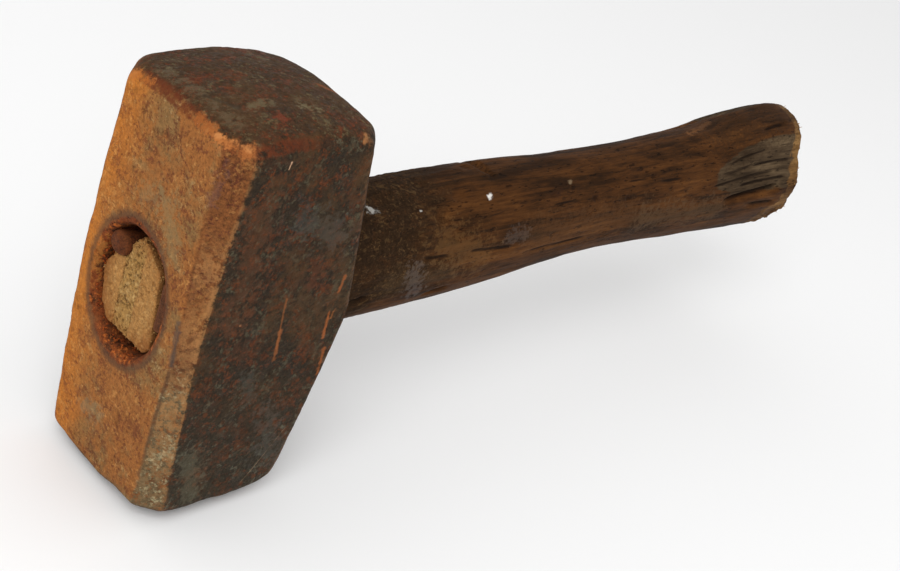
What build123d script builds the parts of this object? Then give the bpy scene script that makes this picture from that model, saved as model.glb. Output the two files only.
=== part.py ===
"""Lump hammer: forged double-faced steel head on a short wooden handle.

The handle's tenon passes through an hourglass eye and is spread there by a wooden wedge in
a saw kerf.  Two later steel wedges, a round one and a flat one, take up the slack between
the tenon and the wall of the eye.

Frame: the head stands on its lower striking face with its long axis along +Z.  The handle
runs along +X, away from the head.  The cheeks face +Y and -Y.  The origin lies on the
lower striking face, straight below the centre of the eye.  Sizes are in millimetres.
"""

from build123d import *
from math import cos, hypot, radians, sin
import os

os.makedirs("parts", exist_ok=True)

# ---------------------------------------------------------------- head
head_length = 104.0  # from one striking face to the other, along Z
head_width = 45.0  # from cheek to cheek, along Y
head_depth = 54.0  # thickness at the eye, along X
top_fall = 0.8  # how far the top side falls back at each striking face
grip_fall = 10.0  # how far the handle side falls back at each striking face
ridge_radius = 30.0  # rounding of the handle side where its two slopes meet
corner_chamfer = 5.0  # flats along the four long corners
face_chamfer = 3.5  # flat around the rim of each striking face

# ---------------------------------------------------------------- eye
eye_top_width, eye_top_height = 24.4, 30.8  # mouth on the top side
eye_waist_width, eye_waist_height = 21.4, 27.6  # narrowest section
eye_grip_width, eye_grip_height = 23.4, 30.0  # mouth on the handle side
eye_waist_offset = 4.0  # from mid depth towards the handle
eye_lip = 1.0  # worn edge of the mouth on the top side

# ---------------------------------------------------------------- handle
handle_reach = 238.0  # from the centre of the eye to the butt
tenon_recess = 2.2  # how far the tenon ends below the top side
tenon_fit = 0.1  # gap between the tenon and the eye, all round
seat_gap = 0.2  # gap between the handle's shoulder and the head
butt_rounding = 7.0

shoulder_width, shoulder_height = 28.8, 38.0  # section against the head
hand_width, hand_height = 25.4, 33.6  # thinnest section of the grip
swell_width, swell_height = 33.2, 43.6  # thickest section, near the butt
butt_width, butt_height = 32.0, 42.4  # section at the very end
shoulder_place = 75.0  # how far from the centre of the eye the shoulder section runs
hand_place = 0.56  # where the thinnest section lies, as a share of the reach
swell_place = 0.95  # where the thickest section lies, as a share of the reach
shoulder_lift, hand_lift, swell_lift = 2.0, 4.4, 6.4  # how far they sit above the eye

# ---------------------------------------------------------------- wedges
wood_wedge_thick, wood_wedge_thin = 6.0, 1.2  # at the driven end and at the tip
wood_wedge_length = 34.0
kerf_width, kerf_depth = 1.2, 41.0  # saw cut that takes the wooden wedge
kerf_side = 2.0  # middle of the kerf from the middle of the eye, along Y

pin_radius, pin_length = 3.1, 21.0  # round steel wedge
pin_recess = 0.8  # its end below the top side
pin_taper = 4.0  # degrees on each flank
pin_bearing = 41.0  # degrees from +Z towards +Y, seen from the centre of the eye
pin_margin = 0.6  # from its flank out to the wall of the eye
pin_lean_side, pin_lean_rise = 0.075, 0.09  # how it leans to the middle, per unit length

flat_width, flat_length = 12.0, 24.0  # flat steel wedge
flat_thick, flat_thin = 3.2, 1.0  # at the driven end and at the tip
flat_recess = 2.0  # its end below the top side
flat_rise = 1.8  # its middle above the centre of the eye
wedge_fit = 0.05  # gap between each steel wedge and the wood it bites into

# ---------------------------------------------------------------- places worked out
eye_z = head_length / 2
top_x = -head_depth / 2
grip_x = head_depth / 2
waist_x = eye_waist_offset
tenon_end_x = top_x + tenon_recess
past = 2.0  # how far a cutting tool runs past what it cuts


def between(x, x_low, low, x_high, high):
    """Value at x on the straight line from (x_low, low) to (x_high, high)."""
    return low + (high - low) * (x - x_low) / (x_high - x_low)


def eye_size(x):
    """Width and height of the eye at x, as its straight flanks give them."""
    if x < waist_x:
        return (
            between(x, top_x, eye_top_width, waist_x, eye_waist_width),
            between(x, top_x, eye_top_height, waist_x, eye_waist_height),
        )
    return (
        between(x, waist_x, eye_waist_width, grip_x, eye_grip_width),
        between(x, waist_x, eye_waist_height, grip_x, eye_grip_height),
    )


def oval(x, width, height, lift=0.0):
    """Elliptical section square to the handle's axis."""
    with BuildSketch(Plane.YZ.offset(x)) as section:
        with Locations((0, eye_z + lift)):
            Ellipse(width / 2, height / 2)
    return section.sketch


def eye_loft(x_start, x_end, gap):
    """Solid with the eye's hourglass shape, made smaller by gap on every side."""
    sections = []
    for x in (x_start, waist_x, x_end):
        width, height = eye_size(x)
        sections.append(oval(x, width - 2 * gap, height - 2 * gap))
    with BuildPart() as body:
        loft(sections=sections, ruled=True)
    return body.part


def head_block(swelling=0.0):
    """The head's outer shape without the eye; swelling pushes out its handle side."""
    fall_x = grip_x - grip_fall + swelling
    with BuildPart() as block:
        with BuildSketch(Plane.XZ):
            with BuildLine():
                ThreePointArc(
                    (top_x + top_fall, 0), (top_x, eye_z), (top_x + top_fall, head_length)
                )
                Line((top_x + top_fall, head_length), (fall_x, head_length))
                FilletPolyline(
                    (fall_x, head_length),
                    (grip_x + swelling, eye_z),
                    (fall_x, 0),
                    radius=ridge_radius,
                )
                Line((fall_x, 0), (top_x + top_fall, 0))
            make_face()
        extrude(amount=head_width / 2, both=True)
    return block.part


# ---------------------------------------------------------------- head
with BuildPart() as head:
    add(head_block())
    cheeks = faces().filter_by(Axis.Y)
    ends = faces().filter_by(Axis.Z)
    long_corners = cheeks.edges() - ends.edges()
    chamfer(long_corners, length=corner_chamfer)
    chamfer(faces().filter_by(Axis.Z).edges(), length=face_chamfer)
    top_side = faces().sort_by(Axis.X)[0]
    add(eye_loft(top_x - past, grip_x + past, 0.0), mode=Mode.SUBTRACT)
    mouth = faces().sort_by(Axis.X)[0].inner_wires().edges()
    fillet(mouth, radius=eye_lip)
head.part.label = "head"

# ---------------------------------------------------------------- wedge shapes
def wood_taper():
    """Outline of the wooden wedge, thick at the end of the tenon and thin inside it."""
    tip_x = tenon_end_x + wood_wedge_length
    with BuildSketch(Plane.XY) as outline:
        with BuildLine():
            Polyline(
                (tenon_end_x, kerf_side - wood_wedge_thick / 2),
                (tip_x, kerf_side - wood_wedge_thin / 2),
                (tip_x, kerf_side + wood_wedge_thin / 2),
                (tenon_end_x, kerf_side + wood_wedge_thick / 2),
                close=True,
            )
        make_face()
    return outline.sketch


def round_wedge(gap):
    """Tapered steel pin along the wall of the eye, made larger by gap on every side."""
    start_x = top_x + pin_recess
    width, height = eye_size(start_x)
    side, rise = sin(radians(pin_bearing)), cos(radians(pin_bearing))
    wall = 1 / hypot(side / (width / 2), rise / (height / 2))
    reach = wall - tenon_fit - pin_margin - pin_radius
    start = Plane(
        origin=(start_x, reach * side, eye_z + reach * rise),
        z_dir=(1, -pin_lean_side, -pin_lean_rise),
    )
    with BuildPart() as pin:
        with BuildSketch(start):
            Circle(pin_radius + gap)
        extrude(amount=pin_length + gap, taper=pin_taper)
    return pin.part


def flat_wedge(gap):
    """Slab for the flat steel wedge, running out past the wall of the eye."""
    start_x = top_x + flat_recess
    end_x = start_x + flat_length + gap
    wall = eye_size(start_x)[0] / 2 - tenon_fit
    outside = -wall - past
    base_z = eye_z + flat_rise - flat_width / 2 - gap
    with BuildPart() as slab:
        with BuildSketch(Plane.XY.offset(base_z)):
            with BuildLine():
                Polyline(
                    (start_x, outside),
                    (start_x, -wall + flat_thick + gap),
                    (end_x, -eye_size(end_x)[0] / 2 + tenon_fit + flat_thin + gap),
                    (end_x, outside),
                    close=True,
                )
            make_face()
        extrude(amount=flat_width + 2 * gap)
    return slab.part


# ---------------------------------------------------------------- wedges
with BuildPart() as wood_wedge:
    add(extrude(wood_taper(), amount=head_length, mode=Mode.PRIVATE))
    add(eye_loft(tenon_end_x, grip_x, tenon_fit), mode=Mode.INTERSECT)
    add(round_wedge(wedge_fit), mode=Mode.SUBTRACT)
wood_wedge.part.label = "wood_wedge"

with BuildPart() as steel_pin_wedge:
    add(round_wedge(0.0))
steel_pin_wedge.part.label = "steel_pin_wedge"

with BuildPart() as steel_flat_wedge:
    add(flat_wedge(0.0))
    add(eye_loft(top_x + flat_recess, grip_x, tenon_fit), mode=Mode.INTERSECT)
steel_flat_wedge.part.label = "steel_flat_wedge"

# ---------------------------------------------------------------- handle
hand_x = handle_reach * hand_place
swell_x = handle_reach * swell_place
grip_sections = [
    oval(grip_x - grip_fall, shoulder_width, shoulder_height),
    oval(shoulder_place, shoulder_width, shoulder_height, shoulder_lift),
    oval(hand_x, hand_width, hand_height, hand_lift),
    oval(swell_x, swell_width, swell_height, swell_lift),
    oval(handle_reach, butt_width, butt_height, swell_lift),
]
with BuildPart() as handle:
    loft(sections=grip_sections)
    fillet(faces().sort_by(Axis.X)[-1].edges(), radius=butt_rounding)
    add(head_block(seat_gap), mode=Mode.SUBTRACT)
    add(eye_loft(tenon_end_x, grip_x, tenon_fit))
    with BuildSketch(Plane.XY):
        with Locations((tenon_end_x + kerf_depth / 2, kerf_side)):
            Rectangle(kerf_depth, kerf_width)
        add(wood_taper())
    extrude(amount=head_length, mode=Mode.SUBTRACT)
    add(round_wedge(wedge_fit), mode=Mode.SUBTRACT)
    add(flat_wedge(wedge_fit), mode=Mode.SUBTRACT)
handle.part.label = "handle"

for piece in (head, handle, wood_wedge, steel_pin_wedge, steel_flat_wedge):
    export_step(piece.part, f"parts/{piece.part.label}.step")
    print(piece.part.label, len(piece.part.solids()), round(piece.part.volume))
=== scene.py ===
import math
import bpy
import numpy as np
from mathutils import Matrix, Vector, noise


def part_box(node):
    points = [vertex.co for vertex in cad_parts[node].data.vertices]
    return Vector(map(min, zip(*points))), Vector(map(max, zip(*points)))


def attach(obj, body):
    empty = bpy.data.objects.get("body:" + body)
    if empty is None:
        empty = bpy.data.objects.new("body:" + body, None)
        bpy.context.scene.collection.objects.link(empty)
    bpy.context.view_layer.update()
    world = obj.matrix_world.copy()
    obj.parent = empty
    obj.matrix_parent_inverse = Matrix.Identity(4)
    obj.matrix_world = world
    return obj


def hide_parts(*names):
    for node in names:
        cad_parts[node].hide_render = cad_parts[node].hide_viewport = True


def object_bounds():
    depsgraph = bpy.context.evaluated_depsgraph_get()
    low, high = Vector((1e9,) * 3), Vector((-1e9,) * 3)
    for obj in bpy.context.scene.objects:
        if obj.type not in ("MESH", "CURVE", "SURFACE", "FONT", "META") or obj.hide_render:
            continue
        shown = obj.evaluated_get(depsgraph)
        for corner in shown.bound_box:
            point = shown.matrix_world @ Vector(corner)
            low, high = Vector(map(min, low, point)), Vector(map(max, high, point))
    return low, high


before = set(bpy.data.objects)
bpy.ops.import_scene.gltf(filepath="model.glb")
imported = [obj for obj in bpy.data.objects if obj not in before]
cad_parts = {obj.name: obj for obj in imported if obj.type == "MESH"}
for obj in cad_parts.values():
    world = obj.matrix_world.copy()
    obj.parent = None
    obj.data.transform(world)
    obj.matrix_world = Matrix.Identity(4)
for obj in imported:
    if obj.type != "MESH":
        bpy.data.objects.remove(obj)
cadLow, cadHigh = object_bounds()

mm = 0.001
headLow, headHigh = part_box("head")
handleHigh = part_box("handle")[1]
pinLow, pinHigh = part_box("steel_pin_wedge")
flatLow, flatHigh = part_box("steel_flat_wedge")
wedgeLow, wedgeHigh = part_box("wood_wedge")
eyeZ = (headLow.z + headHigh.z) / 2  # height of the eye's centre
print("frame loaded:", [round(v, 4) for v in cadHigh - cadLow])


# helpers for node trees

def put(tree, kind, inputs=None, **settings):
    # adds a node, applies its settings, then fills or links its inputs
    node = tree.nodes.new(kind)
    node.location = (180 * (len(tree.nodes) % 12), -200 * (len(tree.nodes) // 12))
    for name, value in settings.items():
        setattr(node, name, value)
    for name, value in (inputs or {}).items():
        if isinstance(value, bpy.types.NodeSocket):
            tree.links.new(value, node.inputs[name])
        else:
            node.inputs[name].default_value = value
    return node


def calc(tree, operation, *values, clamp=False):
    return put(tree, "ShaderNodeMath", dict(enumerate(values)), operation=operation,
               use_clamp=clamp).outputs[0]


def minus(tree, first, second):
    return calc(tree, "SUBTRACT", first, second)


def mulAdd(tree, value, factor, more):
    return calc(tree, "MULTIPLY_ADD", value, factor, more)


def vectorCalc(tree, operation, first, second, out=0):
    inputs = {0: first, 1: second}
    return put(tree, "ShaderNodeVectorMath", inputs, operation=operation).outputs[out]


def scaled(tree, vector, amount):
    inputs = {0: vector, "Scale": amount}
    return put(tree, "ShaderNodeVectorMath", inputs, operation="SCALE").outputs[0]


def components(tree, vector):
    return put(tree, "ShaderNodeSeparateXYZ", {0: vector}).outputs


def product(tree, *values):
    result = values[0]
    for value in values[1:]:
        result = calc(tree, "MULTIPLY", result, value)
    return result


def step(tree, value, start, end, low=0.0, high=1.0):
    # smooth step of value, from low at start to high at end
    inputs = {"Value": value, "From Min": start, "From Max": end, "To Min": low, "To Max": high}
    return put(tree, "ShaderNodeMapRange", inputs, interpolation_type="SMOOTHSTEP").outputs["Result"]


def grainNoise(tree, vector, scale, detail=4.0, rough=0.6, warp=0.0):
    inputs = {"Vector": vector, "Scale": scale, "Detail": detail, "Roughness": rough, "Distortion": warp}
    return put(tree, "ShaderNodeTexNoise", inputs).outputs[0]


def placed(tree, vector, scale=(1, 1, 1), turn=(0, 0, 0), move=(0, 0, 0)):
    inputs = {"Vector": vector, "Scale": scale, "Rotation": [math.radians(a) for a in turn],
              "Location": move}
    return put(tree, "ShaderNodeMapping", inputs).outputs[0]


def blend(tree, amount, first, second):
    # mixes two colours; amount, first and second are sockets or values
    inputs = {0: amount, 6: first, 7: second}
    return put(tree, "ShaderNodeMix", inputs, data_type="RGBA", clamp_factor=True).outputs[2]


def tone(red, green, blue):
    # a colour from its usual 0 to 255 values
    def linear(v):
        v = v / 255
        return v / 12.92 if v <= 0.04045 else ((v + 0.055) / 1.055) ** 2.4
    return (linear(red), linear(green), linear(blue), 1.0)


def coat(tree, color, layer, *masks):
    # covers color with a layer, given by its colour and strength, where all the masks allow it
    shade, strength = layer
    return blend(tree, product(tree, *masks, strength), color, tone(*shade))


socketKinds = {"Geometry": "NodeSocketGeometry", "Vector": "NodeSocketVector",
               "Material": "NodeSocketMaterial", "Color": "NodeSocketColor", "Seed": "NodeSocketInt",
               "Count": "NodeSocketInt", "Passes": "NodeSocketInt"}


def newGroup(name, kind, inputs, outputs):
    # an empty group; the last word of a socket's name gives its type, and a plain word is a number
    tree = bpy.data.node_groups.new(name, kind)
    for direction, names in (("INPUT", inputs), ("OUTPUT", outputs)):
        for label in names:
            socketKind = socketKinds.get(label.split()[-1], "NodeSocketFloat")
            tree.interface.new_socket(label, in_out=direction, socket_type=socketKind)
    source = tree.nodes.new("NodeGroupInput").outputs
    target = tree.nodes.new("NodeGroupOutput").inputs
    return tree, source, target


def placeGroup(tree, group, inputs):
    return put(tree, "ShaderNodeGroup", inputs, node_tree=group).outputs


# helpers for meshes

def addPiece(name, points, faces):
    mesh = bpy.data.meshes.new(name)
    mesh.from_pydata([tuple(p) for p in points], [], faces)
    mesh.update()
    piece = bpy.data.objects.new(name, mesh)
    bpy.context.scene.collection.objects.link(piece)
    return piece


def turns(count):
    return np.linspace(0, 2 * math.pi, count, endpoint=False)


def ringAt(x, y, z):
    return np.c_[np.full(len(y), x), y, z]


def skin(rings):
    # quads between rings of equal length, with both ends closed by a point at their middle
    count, around = len(rings), len(rings[0])
    points = np.concatenate([*rings, [rings[0].mean(0)], [rings[-1].mean(0)]])
    faces = []
    for r in range(count - 1):
        for k in range(around):
            n = (k + 1) % around
            faces.append((r * around + k, r * around + n, (r + 1) * around + n, (r + 1) * around + k))
    first, last = count * around, count * around + 1
    for k in range(around):
        n = (k + 1) % around
        faces.append((first, n, k))
        faces.append((last, (count - 1) * around + k, (count - 1) * around + n))
    return points, faces


def bake(piece):
    # turns the piece's live modifiers into its plain mesh
    graph = bpy.context.evaluated_depsgraph_get()
    mesh = bpy.data.meshes.new_from_object(piece.evaluated_get(graph))
    piece.modifiers.clear()
    old = piece.data
    piece.data = mesh
    bpy.data.meshes.remove(old)
    return piece


def carve(piece, size, *cutters):
    # takes the cutters away from the piece, then evens out its mesh to the given size
    for cutter in cutters:
        change = piece.modifiers.new("cut", "BOOLEAN")
        change.operation = "DIFFERENCE"
        change.solver = "EXACT"
        change.object = cutter
    change = piece.modifiers.new("even mesh", "REMESH")
    change.mode = "VOXEL"
    change.voxel_size = size
    change.use_smooth_shade = True
    bake(piece)
    for cutter in cutters:
        mesh = cutter.data
        bpy.data.objects.remove(cutter)
        bpy.data.meshes.remove(mesh)
    return piece


def getPoints(piece):
    flat = np.empty(len(piece.data.vertices) * 3)
    piece.data.vertices.foreach_get("co", flat)
    return flat.reshape(-1, 3)


def setPoints(piece, points):
    piece.data.vertices.foreach_set("co", points.ravel())
    piece.data.update()


def getNormals(piece):
    flat = np.empty(len(piece.data.vertices) * 3)
    piece.data.vertex_normals.foreach_get("vector", flat)
    return flat.reshape(-1, 3)


def setMask(piece, name, values):
    piece.data.attributes.new(name, "FLOAT", "POINT").data.foreach_set("value", values.astype(np.float32))


def roughen(points, size, octaves=3, offset=0.0, stretch=(1, 1, 1)):
    # fractal noise at each point, from about -1 to 1
    places = (points / (size * np.array(stretch)) + offset).tolist()
    return np.array([noise.fractal(p, 0.8, 2.1, octaves) for p in places])


def joinInto(target, *others):
    with bpy.context.temp_override(active_object=target, selected_editable_objects=[target, *others]):
        bpy.ops.object.join()


def keepInside(piece):
    # the visual model stays within the CAD box
    margin = 0.02 * mm
    setPoints(piece, np.clip(getPoints(piece), np.array(cadLow) + margin, np.array(cadHigh) - margin))


def smoothStep(value, start, end):
    t = np.clip((value - start) / (end - start), 0, 1)
    return t * t * (3 - 2 * t)


def closeTree(tree, source, target, last):
    # ends a tree of geometry with plain meshes of its material
    plain = put(tree, "GeometryNodeRealizeInstances", {"Geometry": last.outputs[0]})
    inputs = {"Geometry": plain.outputs[0], "Material": source["Surface Material"]}
    tree.links.new(put(tree, "GeometryNodeSetMaterial", inputs).outputs[0], target["Geometry"])
    return tree


# wear made by Geometry Nodes: rounded edges, pits and scale, with masks of what it did

def makeWearTree():
    inputs = ["Geometry", "Round Passes", "Lump Depth", "Lump Scale", "Scale Depth", "Scale Scale",
              "Pit Depth", "Pit Scale", "Pit Cover", "Grain Vector", "Seed", "Surface Material"]
    tree, source, target = newGroup("rustWear", "GeometryNodeTree", inputs, ["Geometry"])
    place = put(tree, "GeometryNodeInputPosition").outputs[0]
    blur = put(tree, "GeometryNodeBlurAttribute", {"Value": place, "Iterations": source["Round Passes"]},
               data_type="FLOAT_VECTOR")
    rounded = put(tree, "GeometryNodeSetPosition",
                  {"Geometry": source["Geometry"], "Position": blur.outputs[0]})
    broad = put(tree, "GeometryNodeBlurAttribute", {"Value": place, "Iterations": 14},
                data_type="FLOAT_VECTOR")
    normal = put(tree, "GeometryNodeInputNormal").outputs[0]
    bulge = vectorCalc(tree, "DOT_PRODUCT", vectorCalc(tree, "SUBTRACT", place, broad.outputs[0]),
                       normal, 1)

    def store(geometry, name, value, kind="FLOAT"):
        inputs = {"Geometry": geometry.outputs[0], "Name": name, "Value": value}
        return put(tree, "GeometryNodeStoreNamedAttribute", inputs, data_type=kind)
    convex = store(rounded, "convex", product(tree, bulge, 1 / mm))
    facing = store(convex, "facing", normal, "FLOAT_VECTOR")
    coords = vectorCalc(tree, "MULTIPLY", place, source["Grain Vector"])
    seedShift = vectorCalc(tree, "ADD", coords, product(tree, source["Seed"], 3.7))

    def wave(scaleName, detail, depthName):
        texture = put(tree, "ShaderNodeTexNoise", {"Vector": seedShift, "Scale": source[scaleName],
                                                   "Detail": detail, "Roughness": 0.55})
        return product(tree, minus(tree, texture.outputs[0], 0.5), source[depthName])
    lump, scaly = wave("Lump Scale", 2.0, "Lump Depth"), wave("Scale Scale", 5.0, "Scale Depth")
    cell = put(tree, "ShaderNodeTexVoronoi",
               {"Vector": seedShift, "Scale": source["Pit Scale"], "Randomness": 1.0})
    where = put(tree, "ShaderNodeTexNoise",
                {"Vector": seedShift, "Scale": product(tree, source["Pit Scale"], 0.22),
                 "Detail": 3.0}).outputs[0]
    hollow = step(tree, cell.outputs["Distance"], 0.42, 0.08)
    patchy = step(tree, where, minus(tree, 0.72, source["Pit Cover"]),
                  minus(tree, 0.86, source["Pit Cover"]))
    pit = product(tree, hollow, patchy)
    stored = store(facing, "pit", pit)
    height = minus(tree, calc(tree, "ADD", lump, scaly), product(tree, pit, source["Pit Depth"]))
    moved = put(tree, "GeometryNodeSetPosition",
                {"Geometry": stored.outputs[0], "Offset": scaled(tree, normal, height)})
    smooth = put(tree, "GeometryNodeSetShadeSmooth", {"Geometry": moved.outputs[0]})
    return closeTree(tree, source, target, smooth)


def makeScatterTree():
    # small loose bits over a surface where its mask "cover" allows them
    inputs = ["Geometry", "Density", "Smallest", "Largest", "Sides Count", "Turn Low Vector",
              "Turn High Vector", "Stretch Vector", "Seed", "Surface Material"]
    tree, source, target = newGroup("looseBits", "GeometryNodeTree", inputs, ["Geometry"])
    cover = put(tree, "GeometryNodeInputNamedAttribute", {"Name": "cover"}, data_type="FLOAT").outputs[0]
    points = put(tree, "GeometryNodeDistributePointsOnFaces",
                 {"Mesh": source["Geometry"],
                  "Density": product(tree, cover, source["Density"]), "Seed": source["Seed"]})
    bit = put(tree, "GeometryNodeMeshCone", {"Vertices": source["Sides Count"], "Side Segments": 3,
                                             "Radius Top": 0.25, "Radius Bottom": 0.5,
                                             "Depth": 1.0}).outputs[0]
    turn = put(tree, "FunctionNodeRandomValue", None, data_type="FLOAT_VECTOR")
    for index, name in ((0, "Turn Low Vector"), (1, "Turn High Vector")):
        tree.links.new(source[name], turn.inputs[index])
    size = put(tree, "FunctionNodeRandomValue", {2: source["Smallest"], 3: source["Largest"]},
               data_type="FLOAT").outputs[1]
    scale = scaled(tree, source["Stretch Vector"], size)
    bits = put(tree, "GeometryNodeInstanceOnPoints",
               {"Points": points.outputs[0], "Instance": bit, "Scale": scale})
    spin = put(tree, "FunctionNodeEulerToRotation", {0: turn.outputs[0]}).outputs[0]
    tree.links.new(spin, bits.inputs["Rotation"])
    return closeTree(tree, source, target, bits)


def runTree(piece, tree, values):
    # applies a Geometry Nodes tree with its inputs set by identifier, then makes the result plain
    change = piece.modifiers.new(tree.name, "NODES")
    change.node_group = tree
    for item in tree.interface.items_tree:
        if item.in_out == "INPUT" and item.name in values:
            change[item.identifier] = values[item.name]
    return bake(piece)


wearTree, scatterTree = makeWearTree(), makeScatterTree()


# head: an eight-sided forged bar with a crowned striking face at each end

headShape = {
    "topFall": 0.8 * mm,  # how far the top side falls back towards the faces
    "gripFall": 10.0 * mm,  # the same on the handle side
    "ridge": (0.5 * mm, 0.06),  # how far the handle side's slopes meet past its box, and their roundness
    "cheekInset": 0.12 * mm,  # room for lumps on the cheeks
    "topChamfer": (3.9 * mm, 5.7 * mm),  # at the middle and at the faces
    "gripChamfer": (6.6 * mm, 5.8 * mm),
    "rim": 3.2 * mm,  # rounding of the striking faces' rims
    "crown": 4.7,  # how fast a face drops away from its middle, in metres per square metre
    "crownPlace": -4.5 * mm,  # where along X the faces are highest
    "evenMesh": 0.58 * mm,
    "levels": 24,  # rings from the middle to a rim
    "rimRings": 7,
    "faceRings": (0.75, 0.5, 0.25, 0.06),  # sizes of the rings across a face
    # knocked corners: place, reach and depth
    "knocks": [((20, -22, 1), 13, 3.4), ((18, 22, 2), 9, 1.2), ((-27, 22, 103), 6, 0.9),
               ((17, -22, 103), 6, 0.7), ((-26, -10, 1), 8, 0.8), ((16, 22, 103), 7, 0.9),
               ((-8, -22, 0), 7, 0.7)],
}

eyeShape = {
    "mouth": (12.2 * mm, 15.4 * mm),  # half width and half height on the top side
    "waist": (10.7 * mm, 13.8 * mm),
    "grip": (11.7 * mm, 15.0 * mm),  # on the handle side
    "waistPlace": 4 * mm,
    "middle": (0.5 * mm, 0.8 * mm),  # how far the mouth's centre stands off the head's, in y and z
    "lip": 1.7 * mm,
    "power": 2.25,  # 2 is an ellipse, more is squarer
}


def headOutline(level, inset):
    # points around the head at a level from 0 (middle) to 1 (striking face)
    s = headShape
    left = headLow.x + s["topFall"] * level ** 2 + inset
    right = headHigh.x + s["ridge"][0] - s["gripFall"] * math.hypot(level, s["ridge"][1]) - inset
    side = headHigh.y - s["cheekInset"] - inset
    shrink = inset * (2 - math.sqrt(2))
    c1, c2 = [c[0] + (c[1] - c[0]) * level - shrink for c in (s["topChamfer"], s["gripChamfer"])]
    corners = [(left + c1, -side), (right - c2, -side), (right, -side + c2), (right, side - c2),
               (right - c2, side), (left + c1, side), (left, side - c1), (left, -side + c1)]
    points = []
    count = 10  # points along each side
    for (x, y), (nextX, nextY) in zip(corners, corners[1:] + corners[:1]):
        points += [(x + (nextX - x) * t / count, y + (nextY - y) * t / count) for t in range(count)]
    return np.array(points)


def crownDrop(outline):
    s = headShape
    return s["crown"] * ((outline[:, 0] - s["crownPlace"]) ** 2 + outline[:, 1] ** 2)


def headHalf():
    # rings from the middle of the head to the middle of one face, with heights above the middle
    s = headShape
    half = (headHigh.z - headLow.z) / 2
    rings = []
    for level in np.linspace(0, 1 - s["rim"] / half, s["levels"]):
        outline = headOutline(level, 0)
        rings.append(np.c_[outline, level * (half - crownDrop(outline))])
    for turn in np.linspace(0, math.pi / 2, s["rimRings"])[1:]:
        sunk = s["rim"] * (1 - math.sin(turn))
        outline = headOutline(1 - sunk / half, s["rim"] * (1 - math.cos(turn)))
        rings.append(np.c_[outline, half - sunk - crownDrop(outline)])
    rim, middle = headOutline(1, s["rim"]), np.array([s["crownPlace"], 0])
    for share in s["faceRings"]:
        outline = middle + (rim - middle) * share
        rings.append(np.c_[outline, half - crownDrop(outline)])
    return rings


def eyeHalf(x):
    # half width and half height of the eye at x
    s = eyeShape
    if x < s["waistPlace"]:
        t, ends = (x - headLow.x) / (s["waistPlace"] - headLow.x), (s["mouth"], s["waist"])
    else:
        t, ends = (x - s["waistPlace"]) / (headHigh.x - s["waistPlace"]), (s["waist"], s["grip"])
    return [a + (b - a) * t for a, b in zip(*ends)]


def eyeMiddle(x):
    # the eye's centre at x, off the head's own
    share = min(1.0, max(0.0, (eyeShape["waistPlace"] - x) / (eyeShape["waistPlace"] - headLow.x)))
    return eyeShape["middle"][0] * share, eyeShape["middle"][1] * share


def oval(x, halfWidth, halfHeight, around=72):
    turn = turns(around)
    power = 2 / eyeShape["power"]
    side = -np.sign(np.sin(turn)) * np.abs(np.sin(turn)) ** power
    up = np.sign(np.cos(turn)) * np.abs(np.cos(turn)) ** power
    moveY, moveZ = eyeMiddle(x)
    return ringAt(x, moveY + halfWidth * side, eyeZ + moveZ + halfHeight * up)


def buildHead():
    half = headHalf()
    middle = np.array([0, 0, eyeZ])
    rings = [r * (1, 1, -1) + middle for r in half[:0:-1]] + [r + middle for r in half]
    piece = addPiece("hammerHead", *skin(rings))
    lip = eyeShape["lip"]
    rings = []
    for x, grow in ((headLow.x - 3 * mm, 2 * lip), (headLow.x, lip), (headLow.x + lip * 0.3, lip * 0.4),
                    (headLow.x + lip, 0), (eyeShape["waistPlace"], 0), (headHigh.x + 4 * mm, 0)):
        width, height = eyeHalf(x)
        rings.append(oval(x, width + grow, height + grow))
    eye = addPiece("eyeCutter", *skin(rings))
    carve(piece, headShape["evenMesh"], eye)
    points = getPoints(piece)
    inward = np.array([0, 0, eyeZ]) - points
    inward /= np.linalg.norm(inward, axis=1)[:, None]
    for place, reach, depth in headShape["knocks"]:
        away = np.linalg.norm(points - np.array(place) * mm, axis=1)
        points = points + inward * (depth * mm * smoothStep(away, reach * mm, 0))[:, None]
    setPoints(piece, points)
    return piece


headWear = {"Round Passes": 3, "Lump Depth": 0.9 * mm, "Lump Scale": 70.0, "Scale Depth": 0.28 * mm,
            "Scale Scale": 420.0, "Pit Depth": 0.30 * mm, "Pit Scale": 520.0, "Pit Cover": 0.22,
            "Grain Vector": (1, 1, 1), "Seed": 3}

head = buildHead()
print("head built:", len(head.data.polygons), "faces")


# handle: sections of half height, half width and lift above the eye, by place along it, in millimetres

handleShape = {
    "sections": [(10, 17.5, 13.2, 1.0), (34, 18.4, 14.1, 1.6), (60, 18.8, 14.4, 2.3),
                 (85, 18.4, 14.1, 3.0), (108, 17.2, 13.2, 3.9), (135, 16.7, 12.7, 4.5),
                 (165, 17.6, 13.4, 4.7), (188, 19.0, 14.5, 5.4), (206, 21.4, 15.8, 7.1),
                 (222, 22.5, 16.5, 7.5), (240, 21.8, 16.4, 6.3)],
    "around": 168,
    "spacing": 0.66 * mm,
    "seatGap": 0.25 * mm,
    "tenonJoin": -15 * mm,  # where the broken end of the tenon takes over
    "tenonGap": 0.3 * mm,  # between the tenon and the eye
    "tenonRings": 16,
    "startRings": (0.04, 0.3, 0.6, 0.9),  # sizes of the rings that close the tenon
    "shoulderRings": (0.35, 0.7, 0.93),  # from the eye out to the grip
    "buttRings": 14,
    "endRings": (0.9, 0.8, 0.68, 0.56, 0.44, 0.32, 0.2, 0.08),  # sizes of the rings across the butt
    "buttRound": 7 * mm,
    "buttPower": 2.4,  # 2 rounds the butt like a ball, more is squarer
    "buttLean": (0.78, 0.5, 0.3),  # share of the rounding on average, how much more on top, and its turn
}

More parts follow.
